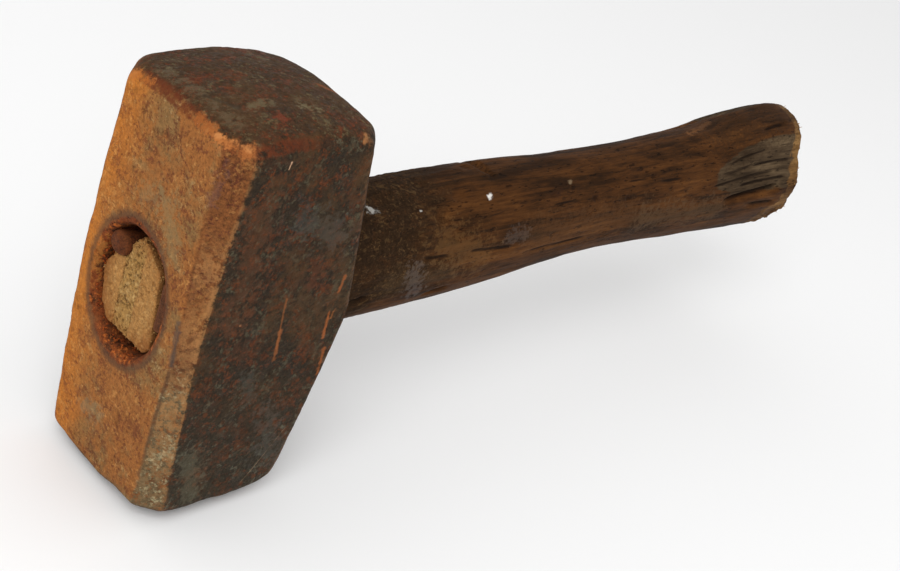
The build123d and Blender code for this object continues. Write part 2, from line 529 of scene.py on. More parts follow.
# marks on the wood: places along the handle in millimetres, turns in degrees from its upper edge to
# the near side
handleMarks = {
    # splits: from place and turn, to place and turn, width and depth in millimetres
    "splits": [(191, 93, 222, 90, 0.9, 3.0), (209, 31, 224, 28, 0.6, 1.4), (182, 72, 219, 74, 0.45, 0.6),
               (186, 62, 228, 65, 0.4, 0.5), (196, 80, 226, 82, 0.5, 0.9), (190, 53, 212, 51, 0.4, 0.4),
               (206, 104, 224, 106, 0.6, 1.2), (50, 79, 64, 82, 0.6, 0.8), (68, 81, 89, 88, 0.5, 0.6),
               (59, 125, 69, 121, 0.9, 1.5), (28, 113, 38, 108, 1.0, 1.6), (102, 57, 118, 58, 0.4, 0.4),
               (138, 48, 152, 50, 0.4, 0.5), (154, 55, 168, 57, 0.5, 0.5), (95, 100, 125, 104, 0.4, 0.4),
               (200, 300, 232, 296, 1.0, 2.6), (150, 205, 214, 199, 0.6, 1.1),
               (70, 262, 128, 268, 0.5, 0.8), (208, 170, 231, 166, 0.9, 2.0),
               (30, 232, 58, 240, 0.7, 1.1), (170, 330, 226, 334, 0.6, 1.0)],
    # bites: place, turn, reach along, reach around and depth in millimetres
    "bites": [(81, -12, 2.4, 8.0, 1.3), (76, -4, 3.0, 2.0, 0.5), (66, 30, 3.5, 2.0, 0.6),
              (58, 46, 4.0, 2.5, 0.7), (47, 62, 5.0, 3.0, 0.8), (40, 20, 5.0, 3.0, 0.7),
              (55, 12, 4.0, 2.5, 0.6), (36, 50, 3.0, 2.5, 0.7), (62, 64, 6.0, 2.2, 0.8),
              (45, 80, 4.0, 2.0, 0.5), (42, 200, 6.0, 4.0, 0.8), (57, 300, 5.0, 3.0, 0.7),
              (113, 44, 1.3, 0.9, 0.5), (123, 60, 1.4, 1.0, 0.5), (139, 67, 1.2, 1.0, 0.4),
              (103, 48, 3.0, 0.9, 0.4)],
    # planes worn flat: place, turn, how far they reach below the round section, and over which turns
    "flats": [(206, 66, 1.5, 26), (214, -30, 1.6, 24), (216, 190, 1.4, 24)],
}


def handleSection(x):
    # half height, half width and lift at x, on a smooth curve through the sections
    s = np.array(handleShape["sections"]) * mm
    places = s[:, 0]
    k = int(np.clip(np.searchsorted(places, x) - 1, 0, len(places) - 2))
    width = places[k + 1] - places[k]
    t = np.clip((x - places[k]) / width, 0, 1)
    slope = np.gradient(s[:, 1:], places, axis=0)
    return ((2 * t ** 3 - 3 * t ** 2 + 1) * s[k, 1:] + (t ** 3 - 2 * t ** 2 + t) * width * slope[k]
            + (3 * t ** 2 - 2 * t ** 3) * s[k + 1, 1:] + (t ** 3 - t ** 2) * width * slope[k + 1])


def seatPlace(heights):
    # x of the handle's shoulder, just clear of the head's handle side
    level = np.abs(heights - eyeZ) / ((headHigh.z - headLow.z) / 2)
    lift, roundness = headShape["ridge"]
    return headHigh.x + lift - headShape["gripFall"] * np.hypot(level, roundness) + handleShape["seatGap"]


def handleRings():
    # rings of points, and the place along the handle of each point
    s = handleShape
    turn = turns(s["around"])
    side, up = -np.sin(turn), np.cos(turn)
    rings, along = [], []

    def add(points, place):
        rings.append(points)
        along.append(np.full(len(turn), place) if np.isscalar(place) else place)
    width, height = eyeHalf(s["tenonJoin"])
    for share in s["startRings"]:
        add(np.c_[np.full(len(turn), s["tenonJoin"]), width * share * side,
                  eyeZ + height * share * up], -1.0)
    halfHeight, halfWidth, lift = handleSection(headHigh.x)
    outer = np.c_[side, halfWidth * side, eyeZ + lift + halfHeight * up]
    outer[:, 0] = seatPlace(outer[:, 2])
    for t in np.linspace(0, 1, s["tenonRings"]):
        middle = s["tenonJoin"] + (headHigh.x - s["tenonJoin"]) * t
        width, height = eyeHalf(middle)
        heights = eyeZ + (height - s["tenonGap"]) * up
        x = s["tenonJoin"] + (seatPlace(heights) - s["tenonJoin"]) * t
        add(np.c_[x, (width - s["tenonGap"]) * side, heights], -1.0)
    tenon = rings[-1]
    for t in s["shoulderRings"]:
        ring = tenon + (outer - tenon) * t
        ring[:, 0] = seatPlace(ring[:, 2])
        add(ring, -1.0)
    start, end = headHigh.x + 2 * mm, handleHigh.x - s["buttRound"]
    places = np.arange(start, end, s["spacing"]).tolist()
    places += [end + s["buttRound"] * math.sin(a) for a in np.linspace(0, 1.45, s["buttRings"])]
    power = s["buttPower"]
    share, more, lean = s["buttLean"]
    for x in places:
        halfHeight, halfWidth, lift = handleSection(x)
        inside = max(0.0, x - end) / s["buttRound"]
        rounded = 1 - (1 - inside ** power) ** (1 / power)
        shrink = s["buttRound"] * rounded * (share + more * np.cos(turn - lean))
        skew = (outer[:, 0] - start + 0.4 * mm) * np.clip(1 - (x - start) / (10 * mm), 0, 1)
        add(np.c_[x + skew, (halfWidth - shrink) * side, eyeZ + lift + (halfHeight - shrink) * up],
            x + skew)
    last, middle = rings[-1], rings[-1].mean(0)
    for share in s["endRings"]:
        add(middle + (last - middle) * share, x + 1 * mm)
    return rings, np.concatenate(along), np.tile(turn, len(rings))


def turnAway(turn, degrees):
    # how far each turn lies from one given in degrees, from -pi to pi
    return (turn - math.radians(degrees) + math.pi) % (2 * math.pi) - math.pi


# wear over the whole handle, in metres unless noted
handleWear = {
    "fine": (0.10 * mm, 1.5 * mm),  # depth and size of fine ridges along the grain
    "broad": (0.35 * mm, 9 * mm),  # depth and size of broad waves
    "ragged": 2.6 * mm,  # size of the breaks in torn wood
    "neckDepth": (0.35 * mm, 0.18 * mm),  # how deep the dirty neck is scuffed, in pits and in ridges
    "flatRough": (0.22 * mm, 0.12 * mm),  # how rough and how sunk the worn planes are
    "rim": (13 * mm, 8.5 * mm),  # how far from the end torn wood starts, and where there is no other
    "buttRough": 0.5 * mm,
    "chip": (128, 0.35 * mm),  # turn of the chipped corner in degrees, and its depth
    "buttCut": (0.7 * mm, 1.2 * mm, 0.3 * mm),  # how far the end falls back: all over, in waves, if chipped
}


def wearHandle(piece, along, turn):
    # presses the marks into the wood and keeps a mask of each kind of surface
    s = handleWear
    points, normals = getPoints(piece)[:-2], getNormals(piece)[:-2]
    grip = along > 0
    radius = 16 * mm  # of the round section that the worn planes cut
    fine = roughen(points, s["fine"][1], 4, 3.0, (11, 1, 1))
    broad = roughen(points, s["broad"][1], 3, 17.0, (3.5, 1, 1))
    ragged = roughen(points, s["ragged"], 3, 40.0)
    depth = s["fine"][0] * fine - s["broad"][0] * broad
    neck = smoothStep(along, 80 * mm, 42 * mm) * smoothStep(np.cos(turnAway(turn, 28)), -0.3, 0.45)
    neck = np.clip(neck + 0.5 * smoothStep(along, 50 * mm, 30 * mm) + 0.35 * broad, 0, 1)
    neck *= smoothStep(along, 84 * mm, 66 * mm)
    depth += neck * (s["neckDepth"][0] * np.abs(ragged) + s["neckDepth"][1] * fine)
    bare = np.zeros(len(points))
    for place, at, fall, reach in handleMarks["flats"]:
        opening = smoothStep(along, (place - 28) * mm, (place - 4) * mm)
        spread = np.radians(reach * (0.15 + 0.85 * opening))
        near = smoothStep(np.abs(turnAway(turn, at)) + 0.06 * fine, spread + 0.06, spread - 0.06)
        near *= smoothStep(along + 3 * mm * broad, (place - 25) * mm, (place - 19) * mm)
        flat = radius * (1 - np.cos(np.clip(turnAway(turn, at), -1, 1)))
        deep = np.clip(fall * mm - flat * 1.15, 0, None) * near
        deep *= smoothStep(along, (place - 27) * mm, (place + 12) * mm)
        depth += deep + near * (s["flatRough"][0] * np.abs(fine) + s["flatRough"][1])
        bare = np.maximum(bare, near)
    split = np.zeros(len(points))
    for startX, startTurn, endX, endTurn, width, sink in handleMarks["splits"]:
        t = np.clip((along / mm - startX) / (endX - startX), 0, 1)
        off = turnAway(turn, startTurn) - math.radians(endTurn - startTurn) * t
        off = off * radius / mm + 0.5 * broad
        ends = smoothStep(along / mm, startX - 1, startX + 5) * smoothStep(along / mm, endX + 1, endX - 4)
        line = np.exp(-(off / width) ** 2) * ends * grip
        depth += line * sink * mm
        split = np.maximum(split, line)
    for place, at, reach, spread, sink in handleMarks["bites"]:
        off = np.hypot((along / mm - place) / reach, turnAway(turn, at) * radius / mm / spread)
        depth += smoothStep(off + 0.3 * ragged, 1.1, 0.3) * sink * mm
    butt = smoothStep(along, handleHigh.x - 10 * mm, handleHigh.x - 2 * mm)
    rimStart, rimFull = [handleHigh.x - reach for reach in s["rim"]]
    rim = smoothStep(along + 2.5 * mm * ragged + 2.0 * mm * broad, rimStart, rimFull)
    depth += butt * s["buttRough"] * ragged
    chip = smoothStep(np.abs(turnAway(turn, s["chip"][0])), 0.42, 0.2)
    chip *= smoothStep(along, handleHigh.x - 22 * mm, handleHigh.x - 12 * mm)
    depth += chip * s["chip"][1] * (0.6 + 1.6 * ragged)
    points = points - normals * (depth * grip)[:, None]
    gnaw = roughen(np.c_[along * 0, np.cos(turn), np.sin(turn)] * 10 * mm, 5 * mm, 3, 9.0)
    allOver, waves, atChip = s["buttCut"]
    points[:, 0] -= butt * (allOver + waves * gnaw + atChip * chip)
    points[:, 0] = np.minimum(points[:, 0], handleHigh.x - 0.05 * mm)
    around = handleShape["around"]
    setPoints(piece, np.concatenate([points, [points[:around].mean(0)], [points[-around:].mean(0)]]))
    pad = np.zeros(2)
    setMask(piece, "grime", np.concatenate([neck, pad]))
    setMask(piece, "bare", np.concatenate([bare * grip, pad]))
    setMask(piece, "split", np.concatenate([split, pad]))
    setMask(piece, "ragged", np.concatenate([np.clip(rim + chip, 0, 1) * grip, pad + 1]))


# the broken end of the tenon: each break is a direction across the eye and a distance from its centre
tenonShape = {
    "end": -25.0 * mm,
    "breaks": [(0.0, -1.0, 12.2), (-1.0, 0.12, 8.2), (-0.55, 0.83, 11.2), (0.74, 0.67, 9.7)],
    "breakDepth": -18.5 * mm,
    "evenMesh": 0.33 * mm,
    "gap": 0.35 * mm,  # to the wall of the eye
    "cutReach": 6 * mm,  # how far the cutters stand past the top side
    "kerfFit": 0.02 * mm,
    "pinFit": 0.15 * mm,
    "flatFit": 0.12 * mm,
}
woodWedgeShape = {
    "sunk": 0.2 * mm,  # below the tenon's end
    "grow": 0.22 * mm,  # how tightly it fills its kerf
    "trim": 0.4 * mm,  # its edges inside the wall of the eye
    "taper": 0.8,
}
edgePoints = 9  # points along each edge of a wedge's section
tenonWear = {"Round Passes": 2, "Lump Depth": 1.1 * mm, "Lump Scale": 260.0, "Scale Depth": 0.55 * mm,
             "Scale Scale": 800.0, "Pit Depth": 0.5 * mm, "Pit Scale": 900.0, "Pit Cover": 0.12,
             "Grain Vector": (0.5, 1, 1), "Seed": 8}
wedgeWear = {"Round Passes": 1, "Lump Depth": 0.8 * mm, "Lump Scale": 420.0, "Scale Depth": 0.8 * mm,
             "Scale Scale": 1300.0, "Pit Depth": 1.3 * mm, "Pit Scale": 760.0, "Pit Cover": 0.40,
             "Grain Vector": (0.6, 1, 1), "Seed": 21}
steelWedgeWear = {"Round Passes": 2, "Lump Depth": 0.25 * mm, "Lump Scale": 400.0,
                  "Scale Depth": 0.16 * mm, "Scale Scale": 1300.0, "Pit Depth": 0.15 * mm,
                  "Pit Scale": 1500.0, "Pit Cover": 0.3, "Grain Vector": (1, 1, 1), "Seed": 5}


def breakBlock(across, up, distance):
    # a block that takes away everything beyond one break
    out, along = np.array([0, across, up]), np.array([0, -up, across])
    out, along = out / np.linalg.norm(out), along / np.linalg.norm(along)
    far, half = distance + 25, 30
    rings = []
    for x in (headLow.x - 8 * mm, tenonShape["breakDepth"]):
        middle = np.array([x, eyeShape["middle"][0], eyeZ + eyeShape["middle"][1]])
        corners = ((distance, -half), (far, -half), (far, half), (distance, half))
        rings.append(np.array([middle + out * d * mm + along * a * mm for d, a in corners]))
    return addPiece("breakBlock", *skin(rings))


def wedgeSection(x):
    # half thickness of the wooden wedge at x, and the middle of its kerf
    t = np.clip((x - wedgeLow.x) / (wedgeHigh.x - wedgeLow.x), 0, 1)
    kerf = (wedgeLow.y + wedgeHigh.y) / 2
    return (wedgeHigh.y - wedgeLow.y) / 2 * (1 - woodWedgeShape["taper"] * t), kerf


def wedgeRings(startX, endX, grow, shrink):
    # rings of the wooden wedge, whose upper and lower edges follow the eye
    rings = []
    for x in np.linspace(startX, endX, 24):
        half, kerf = wedgeSection(x)
        width, height = eyeHalf(x)
        moveY, moveZ = eyeMiddle(x)
        across = np.linspace(kerf + half + grow, kerf - half - grow, edgePoints)
        top = (height - shrink) * np.sqrt(1 - (across / width) ** 2)
        rings.append(ringAt(x, moveY + np.r_[across, across[::-1]],
                            eyeZ + moveZ + np.r_[top, -top[::-1]]))
    return rings


pinShape = {
    "offset": (0, 1.2 * mm, 2.0 * mm),  # the real pin was driven close to the wall of the eye
    "swell": 0.97,  # its struck end has spread
    "dome": 2.0 * mm,
    "stand": 0.7 * mm,  # how far it stands proud of its place in the eye
    "taper": 0.45,
    "lean": (1.6 * mm, 1.9 * mm),  # how far it leans to the middle over its length, in y and z
    "around": 56,
    "rings": 48,
    "evenMesh": 0.3 * mm,
}
flatShape = {"wallGap": 0.25 * mm, "taper": 0.68, "cutReach": 8 * mm, "evenMesh": 0.3 * mm}


def pinRings(grow, startX, endX):
    # rings of the round steel wedge, leaning to the middle of the eye as it goes in
    s = pinShape
    radius = (pinHigh.y - pinLow.y) / 2
    middle = Vector((pinLow.x, pinHigh.y - radius, pinHigh.z - radius)) + Vector(s["offset"])
    leanY, leanZ = s["lean"]
    rings = []
    length = pinHigh.x - pinLow.x
    turn = turns(s["around"])
    for k in range(s["rings"]):
        x = startX + (endX - startX) * (k / (s["rings"] - 1)) ** 1.8
        t = (x - pinLow.x) / length
        end = max(0.0, 1 - (x - startX) / s["dome"]) if grow == 0 else 0
        size = s["swell"] * radius * (1 - s["taper"] * max(t, 0)) * math.sqrt(1.02 - end ** 2) + grow
        rings.append(ringAt(x, middle.y - leanY * t - size * np.sin(turn),
                            middle.z - leanZ * t + size * np.cos(turn)))
    return rings


def flatRings(grow):
    # rings of the flat steel wedge, whose back follows the wall of the eye
    s = flatShape
    rings = []
    for x in np.linspace(flatLow.x - (s["cutReach"] if grow else 0), flatHigh.x, 30):
        t = np.clip((x - flatLow.x) / (flatHigh.x - flatLow.x), 0, 1)
        width, height = eyeHalf(x)
        heights = np.linspace(flatHigh.z + grow, flatLow.z - grow, edgePoints) - eyeZ
        moveY, moveZ = eyeMiddle(x)
        wall = moveY - (width - s["wallGap"] + 8 * grow) * np.sqrt(1 - (heights / height) ** 2)
        inner = moveY - width + (flatHigh.y - flatLow.y) * (1 - s["taper"] * t) + grow
        rings.append(ringAt(x, np.r_[wall, np.full(edgePoints, inner)],
                            eyeZ + moveZ + np.r_[heights, heights[::-1]]))
    return rings


def buildTenonEnd():
    s = tenonShape
    rings = []
    for x in np.linspace(s["end"], handleShape["tenonJoin"] + 0.3 * mm, 20):
        width, height = eyeHalf(x)
        rings.append(oval(x, width - s["gap"], height - s["gap"]))
    piece = addPiece("tenonEnd", *skin(rings))
    start = headLow.x - s["cutReach"]
    kerf = addPiece("kerf", *skin(wedgeRings(start, -10 * mm, s["kerfFit"], -4 * mm)))
    pinHole = addPiece("pinHole", *skin(pinRings(s["pinFit"], start, pinHigh.x)))
    flatSlot = addPiece("flatSlot", *skin(flatRings(s["flatFit"])))
    breaks = [breakBlock(*b) for b in s["breaks"]]
    return carve(piece, s["evenMesh"], kerf, pinHole, flatSlot, *breaks)


def buildWoodWedge():
    s = woodWedgeShape
    rings = wedgeRings(tenonShape["end"] + s["sunk"], wedgeHigh.x, s["grow"], s["trim"])
    piece = addPiece("woodWedge", *skin(rings))
    pinRoom = pinRings(tenonShape["pinFit"], headLow.x - tenonShape["cutReach"], pinHigh.x)
    pinHole = addPiece("pinHole", *skin(pinRoom))
    breaks = [breakBlock(*b) for b in tenonShape["breaks"]]
    return carve(piece, tenonShape["evenMesh"], pinHole, *breaks)


def buildHandle():
    rings, along, turn = handleRings()
    piece = addPiece("hammerHandle", *skin(rings))
    wearHandle(piece, along, turn)
    return piece


handle = buildHandle()
tenonEnd = buildTenonEnd()
woodWedge = buildWoodWedge()
steelPin = addPiece("steelPin", *skin(pinRings(0, pinLow.x - pinShape["stand"], pinHigh.x)))
carve(steelPin, pinShape["evenMesh"])
flatSteel = addPiece("flatSteel", *skin(flatRings(0)))
carve(flatSteel, flatShape["evenMesh"])
print("handle and wedges built:",
      [len(p.data.polygons) for p in (handle, tenonEnd, woodWedge, steelPin, flatSteel)])


# shader groups shared by the finishes

def makeMottle():
    # a base colour broken by spots, pale patches, fine specks of both and grain
    inputs = ["Place Vector", "Base Color", "Spot Color", "Pale Color", "Spot Scale", "Spot Cover",
              "Pale Scale", "Pale Cover", "Grain Scale", "Grain Strength"]
    tree, source, target = newGroup("mottle", "ShaderNodeTree", inputs, ["Mottled Color", "Height"])
    place = source["Place Vector"]
    shifted = placed(tree, place, move=(0.31, 0.17, 0.23))

    def layer(vector, scaleName, coverName, rise):
        # broad patches with ragged edges, and fine specks in and round them
        broad = grainNoise(tree, vector, source[scaleName], 7.0, 0.74, 0.2)
        edge = minus(tree, 0.72, product(tree, source[coverName], 0.4))
        patch = step(tree, broad, edge, calc(tree, "ADD", edge, rise))
        fine = grainNoise(tree, vector, product(tree, source[scaleName], 5.5), 3.0, 0.7)
        near = mulAdd(tree, minus(tree, broad, edge), 0.8, fine)
        return calc(tree, "MAXIMUM", product(tree, patch, 0.8), step(tree, near, 0.52, 0.62))
    spotMask = layer(place, "Spot Scale", "Spot Cover", 0.13)
    paleMask = layer(shifted, "Pale Scale", "Pale Cover", 0.16)
    grain = grainNoise(tree, place, source["Grain Scale"], 4.0, 0.8)
    shade = mulAdd(tree, minus(tree, grain, 0.5), source["Grain Strength"], 1.0)
    color = blend(tree, spotMask, source["Base Color"], source["Spot Color"])
    color = blend(tree, product(tree, paleMask, 0.85), color, source["Pale Color"])
    tree.links.new(scaled(tree, color, shade), target["Mottled Color"])
    height = mulAdd(tree, grain, 0.8, product(tree, paleMask, 0.3))
    tree.links.new(minus(tree, height, product(tree, spotMask, 0.25)), target["Height"])
    return tree


def makeMark():
    # a mask round the line from one point to another, or round one point where both are the same
    inputs = ["Place Vector", "Start Vector", "End Vector", "Width", "Rag", "Rag Depth"]
    tree, source, target = newGroup("mark", "ShaderNodeTree", inputs, ["Mask"])
    line = vectorCalc(tree, "SUBTRACT", source["End Vector"], source["Start Vector"])
    away = vectorCalc(tree, "SUBTRACT", source["Place Vector"], source["Start Vector"])
    share = calc(tree, "DIVIDE", vectorCalc(tree, "DOT_PRODUCT", away, line, 1),
                 vectorCalc(tree, "DOT_PRODUCT", line, line, 1), clamp=True)
    distance = vectorCalc(tree, "DISTANCE", away, scaled(tree, line, share), 1)
    level = minus(tree, 1.0, calc(tree, "DIVIDE", distance, source["Width"]))
    ragged = mulAdd(tree, minus(tree, source["Rag"], 0.5), source["Rag Depth"], level)
    tree.links.new(step(tree, ragged, 0.0, 0.8), target["Mask"])
    return tree


def makeScratches():
    # fine broken lines along the X axis of the given place
    tree, source, target = newGroup("scratches", "ShaderNodeTree",
                                    ["Place Vector", "Scale", "Length", "Cover"], ["Mask"])
    squeeze = put(tree, "ShaderNodeCombineXYZ",
                  {0: calc(tree, "DIVIDE", 1.0, source["Length"]), 1: 1.0, 2: 1.0}).outputs[0]
    thin = vectorCalc(tree, "MULTIPLY", source["Place Vector"], squeeze)
    lines = grainNoise(tree, thin, source["Scale"], 3.0, 0.6, 0.4)
    edge = minus(tree, 0.78, product(tree, source["Cover"], 0.35))
    tree.links.new(step(tree, lines, edge, calc(tree, "ADD", edge, 0.09)), target["Mask"])
    return tree


def makeWoodGrain():
    # streaks and pores along the X axis
    inputs = ["Place Vector", "Dark Color", "Middle Color", "Light Color", "Streak Scale",
              "Pore Scale", "Pore Cover"]
    tree, source, target = newGroup("woodGrain", "ShaderNodeTree", inputs, ["Grain Color", "Height"])
    place = source["Place Vector"]
    slant = (20, 35, 35)  # in the squeezed space, to show no straight bounds across the grain

    def streaks(squeeze, share, detail, warp=0.0):
        vector = placed(tree, place, (squeeze, 1, 1), slant, (0.2 * share, 0.1, 0))
        return grainNoise(tree, vector, product(tree, source["Streak Scale"], share), detail,
                          0.68, warp)
    cloud, streak, fine = streaks(0.30, 0.16, 5.0), streaks(0.045, 1.0, 6.0, 0.4), streaks(0.10, 3.2, 3.0)
    level = calc(tree, "ADD", product(tree, cloud, 0.55), product(tree, streak, 0.45))
    color = blend(tree, step(tree, level, 0.40, 0.54), source["Dark Color"], source["Middle Color"])
    color = blend(tree, step(tree, level, 0.51, 0.64), color, source["Light Color"])
    shade = mulAdd(tree, minus(tree, fine, 0.5), 0.9, 1.0)
    pores = grainNoise(tree, placed(tree, place, (0.28, 1, 1), slant, (0, 0.3, 0.1)),
                       source["Pore Scale"], 2.0, 0.5)
    edge = minus(tree, 0.78, product(tree, source["Pore Cover"], 0.3))
    pore = step(tree, pores, edge, calc(tree, "ADD", edge, 0.06))
    shade = product(tree, shade, mulAdd(tree, pore, -0.55, 1.0))
    tree.links.new(scaled(tree, color, shade), target["Grain Color"])
    height = mulAdd(tree, fine, 0.5, product(tree, streak, 0.5))
    tree.links.new(minus(tree, height, product(tree, pore, 0.6)), target["Height"])
    return tree


mottleGroup, markGroup = makeMottle(), makeMark()
scratchGroup, grainGroup = makeScratches(), makeWoodGrain()
print("shader groups ready")


def newFinish(name):
    # a new material, its tree and shader, and its pattern's coordinates
    material = bpy.data.materials.new(name)
    material.use_nodes = True
    tree = material.node_tree
    place = put(tree, "ShaderNodeTexCoord").outputs["Object"]
    return material, tree, tree.nodes["Principled BSDF"], place


def attribute(tree, name, output="Fac"):
    return put(tree, "ShaderNodeAttribute", None, attribute_name=name).outputs[output]


def palette(tree, mask, first, second):
    # blends two sets of three colours
    return [blend(tree, mask, a, b) for a, b in zip(first, second)]


def tones(colors):
    return [tone(*c) for c in colors]


def mottle(tree, place, colors, spots, pales, grain):
    # places the mottle group with three colours, and a scale and an amount for each kind of break
    base, spot, pale = colors
    out = placeGroup(tree, mottleGroup, {
        "Place Vector": place, "Base Color": base, "Spot Color": spot, "Pale Color": pale,
        "Spot Scale": spots[0], "Spot Cover": spots[1], "Pale Scale": pales[0], "Pale Cover": pales[1],
        "Grain Scale": grain[0], "Grain Strength": grain[1]})
    return out["Mottled Color"], out["Height"]


def mark(tree, place, rag, start, end, width):
    # places the mark group; its points and width are in millimetres, and wide marks are more ragged
    inputs = {"Place Vector": place, "Start Vector": [v * mm for v in start],
              "End Vector": [v * mm for v in end], "Width": width * mm, "Rag": rag,
              "Rag Depth": 6.0 if width > 1 else 3.0}
    return placeGroup(tree, markGroup, inputs)["Mask"]


def scratches(tree, place, scale, length, cover, turn=(0, 0, 0)):
    turned = placed(tree, place, turn=turn)
    return placeGroup(tree, scratchGroup, {"Place Vector": turned, "Scale": scale, "Length": length,
                                           "Cover": cover})["Mask"]


def finish(tree, shader, color, rough, height, bump, shine=0.12):
    # links the colour, roughness and bump to the shader
    tree.links.new(color, shader.inputs["Base Color"])
    if isinstance(rough, bpy.types.NodeSocket):
        tree.links.new(rough, shader.inputs["Roughness"])
    else:
        shader.inputs["Roughness"].default_value = rough
    shader.inputs["Specular IOR Level"].default_value = shine
    node = put(tree, "ShaderNodeBump", {"Height": height, "Distance": bump, "Strength": 1.0})
    tree.links.new(node.outputs[0], shader.inputs["Normal"])


headFinish = {
    # colours of each side: base, spots, pale patches
    "topSide": ((140, 88, 44), (110, 62, 34), (164, 112, 60)),
    "topSideCool": ((124, 94, 56), (104, 66, 38), (146, 122, 82)),
    "topSideEdge": ((176, 106, 40), (146, 84, 38), (190, 124, 58)),
    "cheek": ((46, 36, 25), (88, 46, 22), (78, 72, 55)),
    "cheekLow": ((52, 45, 34), (80, 48, 28), (88, 85, 70)),
    "face": ((62, 43, 25), (92, 46, 23), (94, 80, 54)),
    "chamfer": ((110, 66, 34), (84, 45, 27), (134, 90, 49)),
    "chamferLow": ((96, 80, 56), (104, 62, 34), (146, 134, 102)),
    "eyeWall": ((106, 52, 23), (50, 23, 11), (164, 88, 36)),
    # wear over all sides, with painted highlights along the edges: colour and strength
    "rimRed": ((94, 43, 21), 0.85),
    "paleStreak": ((98, 88, 70), 0.28),
    "darkStreak": ((32, 25, 18), 0.35),
    "redPatch": ((84, 48, 25), 0.4),
    "warmPatch": ((82, 58, 32), 0.55),
    # pale line where the chamfer meets the cheek: wear and a painted highlight
    "wornLineAndHighlight": ((168, 120, 72), 1.0),
    "mouthRing": ((78, 54, 40), 0.7),
    "pit": ((56, 34, 22), 0.5),
    # lighter on convex edges: wear and a painted highlight
    "convexWearAndHighlight": ((164, 112, 68), 0.3),
    "ragScale": 520,
    "broadScale": 60,
    "cloudScale": 75,
    "spots": (190, 0.50),  # scale and cover
    "pales": (150, 0.42),
    "grain": (1300, 3.0),
    "dots": (330, (104, 56, 30), 0.55),  # scale, colour and strength
    "bump": 0.26 * mm,
    "marks": [
        # worn rim and corner, and the pale line along the corner: real wear, brightened with a painted
        # highlight on the rounded edge
        ((-26.3, -7, 100.4), (-25, -15.5, 99.4), 2.2, (172, 100, 46), 0.6),  # worn rim
        ((-25.4, -14.5, 99.5), (-21.6, -20, 98.8), 2.0, (178, 108, 54), 0.6),  # worn corner
        ((-25.6, -13.5, 100.0), (-21.4, -19.8, 99.3), 1.0, (198, 134, 78), 0.55),
        ((-26, 19, 98), (-26, 10, 100.5), 1.6, (184, 108, 46), 0.6),
        # grey band along the upper face's rim by the top side: a painted highlight on the rounded rim
        ((-22, 10, 102), (-20.5, -13, 101), 2.8, (104, 90, 66), 0.42),
        ((9.5, -20.8, 100.5), (8.6, -21.6, 99.5), 1.0, (170, 116, 70), 0.75),
        ((-1, -11, 103.3), (2, -12.5, 103.1), 1.5, (128, 116, 86), 0.55),  # spots on the upper face
        ((-13.5, -9, 103.2), (-9.5, -8.5, 103.4), 1.8, (110, 98, 70), 0.5),
        ((-9.8, -14.4, 103), (-9, -15, 102.9), 1.7, (116, 50, 25), 0.7),
        ((11, -1.5, 102.8), (17, -6.5, 101.8), 0.9, (150, 84, 42), 0.55),
        ((-21, -2.5, 102.7), (-17, -8.5, 103), 0.9, (50, 40, 27), 0.55),
        ((-1.3, -22.5, 61), (0.2, -22.5, 47), 0.42, (146, 86, 45), 0.6),  # long scratch
        ((-0.2, -22.5, 52), (0.5, -22.5, 44), 0.8, (150, 88, 46), 0.6),
        ((15.4, -22.5, 64), (14.9, -22.5, 60), 0.7, (150, 84, 42), 0.75),
        ((14.0, -22.5, 54), (14.3, -22.5, 47), 0.7, (156, 88, 44), 0.8),
        ((16.0, -22.3, 43.5), (16.4, -22.3, 36), 0.8, (150, 84, 42), 0.75),
        ((15.6, -22.5, 55), (15.0, -22.5, 52.5), 0.5, (150, 90, 46), 0.7),
        ((-11.6, -22.5, 97), (-11.9, -22.5, 95.4), 0.25, (196, 156, 124), 0.9),
        ((-13.1, -22.5, 56.2), (-13.1, -22.5, 56.2), 0.5, (170, 120, 84), 0.8),
        ((11.4, -22.5, 21), (1.7, -22.5, 6.5), 0.25, (150, 120, 92), 0.5),
        ((-16, -22.5, 86), (-15, -22.5, 58), 5.5, (96, 60, 36), 0.4),
        ((-12, -22.5, 64), (-12, -22.5, 60), 2.6, (98, 54, 28), 0.45),
        ((4, -22.5, 70), (6, -22.5, 64), 2.4, (94, 50, 27), 0.4),
        ((-6, -22.5, 40), (-4, -22.5, 34), 3.0, (70, 72, 64), 0.4),
        ((-17, -22.5, 20), (-13, -22.5, 8), 4.0, (98, 92, 72), 0.4),
        ((4, -22.5, 26), (8, -22.5, 14), 5.0, (78, 76, 68), 0.4),
        ((-3, -22.5, 82), (9, -22.5, 76), 5.0, (74, 74, 68), 0.35),
        ((-27, -6, 79), (-27, -11, 71), 4.2, (134, 112, 74), 0.5),  # greenish patches by the eye
        ((-27, 3, 77), (-27, -2, 79), 3.0, (136, 114, 76), 0.4),
        ((-27, 1, 19), (-27, 6, 17), 3.2, (134, 118, 86), 0.42),
        # dark and purplish lines along the crease between the top side and the chamfer: painted shade
        ((-26.6, -18.2, 57), (-26.4, -19, 46), 0.9, (70, 62, 56), 0.75),  # dark line beside the chamfer
        ((-26.4, -18.8, 44), (-26.4, -17.4, 14), 0.6, (82, 56, 38), 0.65),
        ((-26, -20, 97), (-26, -17.7, 86), 1.8, (100, 70, 62), 0.45),
        ((-27, 14, 60), (-27, 18, 30), 3.5, (184, 116, 48), 0.45),
    ],
}


def mouthRadius(tree, where):
    # 1 at the edge of the eye's mouth, less inside it
    across = calc(tree, "DIVIDE", minus(tree, where[1], eyeShape["middle"][0]), eyeShape["mouth"][0])
    up = calc(tree, "DIVIDE", minus(tree, where[2], eyeZ + eyeShape["middle"][1]), eyeShape["mouth"][1])
    return calc(tree, "SQRT", calc(tree, "ADD", product(tree, across, across), product(tree, up, up)))


